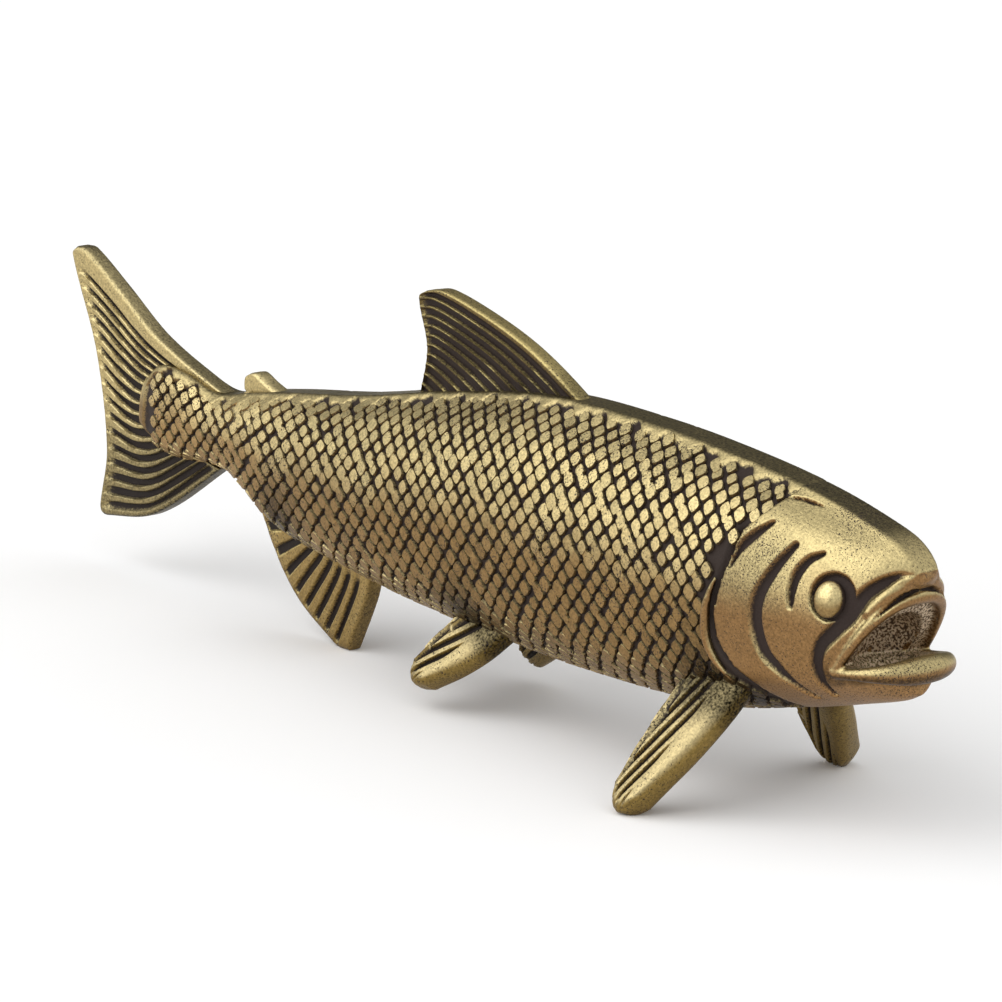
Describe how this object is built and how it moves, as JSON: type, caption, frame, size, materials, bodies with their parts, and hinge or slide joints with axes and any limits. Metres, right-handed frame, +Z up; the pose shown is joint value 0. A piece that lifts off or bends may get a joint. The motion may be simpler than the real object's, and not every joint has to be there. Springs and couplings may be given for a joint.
{
  "type": "fish figurine",
  "caption": "Small cast brass salmon with an open mouth and carved scales that stands on its pectoral fins and its anal fin as a shelf ornament.",
  "frame": {"origin": "on the ground, below the middle of the figurine's box", "axes": "+X along the body towards the nose, +Y to the fish's own left, +Z up"},
  "size_m": [0.0692, 0.0182, 0.0218],
  "materials": {
    "body_brass": "antiqued brass, dark brown in the cuts and rubbed bright on the raised places",
    "fin_brass": "antiqued brass, dark brown between the fin rays",
    "eye_brass": "rubbed bright"
  },
  "bodies": {
    "root": {"body_casting": "body_brass", "caudal_fin": "fin_brass", "dorsal_fin": "fin_brass", "adipose_fin": "fin_brass", "anal_fin": "fin_brass", "right_pectoral_fin": "fin_brass", "left_pectoral_fin": "fin_brass", "right_pelvic_fin": "fin_brass", "left_pelvic_fin": "fin_brass", "right_eye": "eye_brass", "left_eye": "eye_brass"}
  },
  "joints": []
}
